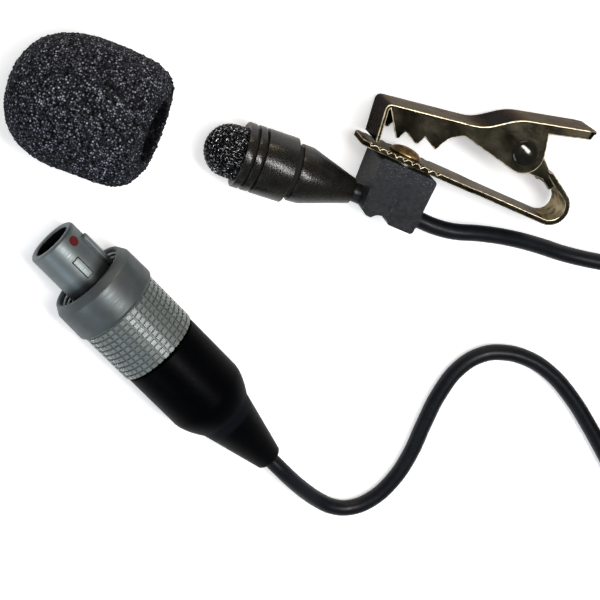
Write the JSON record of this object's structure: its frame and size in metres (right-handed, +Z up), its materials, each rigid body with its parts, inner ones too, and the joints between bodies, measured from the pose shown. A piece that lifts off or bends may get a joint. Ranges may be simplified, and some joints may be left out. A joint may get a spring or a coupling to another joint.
{
  "type": "lavalier microphone",
  "caption": "Miniature clip-on microphone with a mesh nose, swivelling spring clip, foam windscreen beside it, thin cord and a knurled locking plug.",
  "frame": {"origin": "on the table, below the middle of the microphone, its clip and its windscreen", "axes": "+X from the microphone's nose to its cord, +Y from the microphone to the clip's jaws, +Z up from the table"},
  "size_m": [0.1222, 0.0562, 0.0163],
  "materials": {
    "wire_mesh": "coarse woven",
    "head_black": "satin",
    "capsule_can": "satin",
    "seal_rubber": "matt",
    "board_green": "matt",
    "cord_jacket": "soft sheen",
    "block_rubber": "grained",
    "clip_steel": "dark plated gloss",
    "rivet_brass": "worn",
    "spring_steel": "bright",
    "foam_black": "open cell",
    "plug_metal": "satin",
    "dot_red": "satin",
    "insert_black": "satin",
    "contact_gold": "bright",
    "boot_black": "satin"
  },
  "bodies": {
    "mic": {"mesh_dome": "wire_mesh", "grille_collar": "head_black", "head_body": "head_black", "rear_cone": "head_black", "capsule": "capsule_can", "capsule_gasket": "seal_rubber", "head_board": "board_green", "mic_cord_end": "cord_jacket", "neck_sleeve": "seal_rubber", "holder_block": "block_rubber", "rivet_washer": "spring_steel", "clip_rivet": "rivet_brass", "plug_shell": "plug_metal", "key_dot": "dot_red", "plug_insert": "insert_black", "contact_pins": "contact_gold", "retaining_ring": "spring_steel", "back_shell": "plug_metal", "cord_collet": "rivet_brass", "plug_cord_end": "cord_jacket", "boot": "boot_black", "cord_mic_run": "cord_jacket", "cord_coil": "cord_jacket", "cord_plug_run": "cord_jacket"},
    "clip": {"lower_jaw": "clip_steel", "pivot_pin": "clip_steel", "torsion_spring": "spring_steel"},
    "jaw": {"upper_jaw": "clip_steel"},
    "nut": {"coupling_nut": "plug_metal"},
    "foam": {"windscreen": "foam_black"}
  },
  "joints": [
    {"name": "holder_swivel", "type": "hinge", "parent": "mic", "child": "clip", "pos_m": [0.01258, 0.00095, 0.004], "axis": [0.0872, 0.9962, 0], "continuous": true},
    {"name": "jaw_open", "type": "hinge", "parent": "clip", "child": "jaw", "pos_m": [0.02502, 0.00659, 0.004], "axis": [0, 0, -1], "range_deg": [0, 25], "stiffness_Nm_per_rad": 0.03, "springref_deg": -59.99, "deforming": ["torsion_spring"]},
    {"name": "nut_spin", "type": "hinge", "parent": "mic", "child": "nut", "pos_m": [-0.01574, -0.0242, 0.00558], "axis": [0.8759, -0.4815, -0.0321], "continuous": true},
    {"name": "windscreen_slide", "type": "slide", "parent": "mic", "child": "foam", "axis": [1, 0, 0], "range_m": [-0.02, 0.004]}
  ]
}
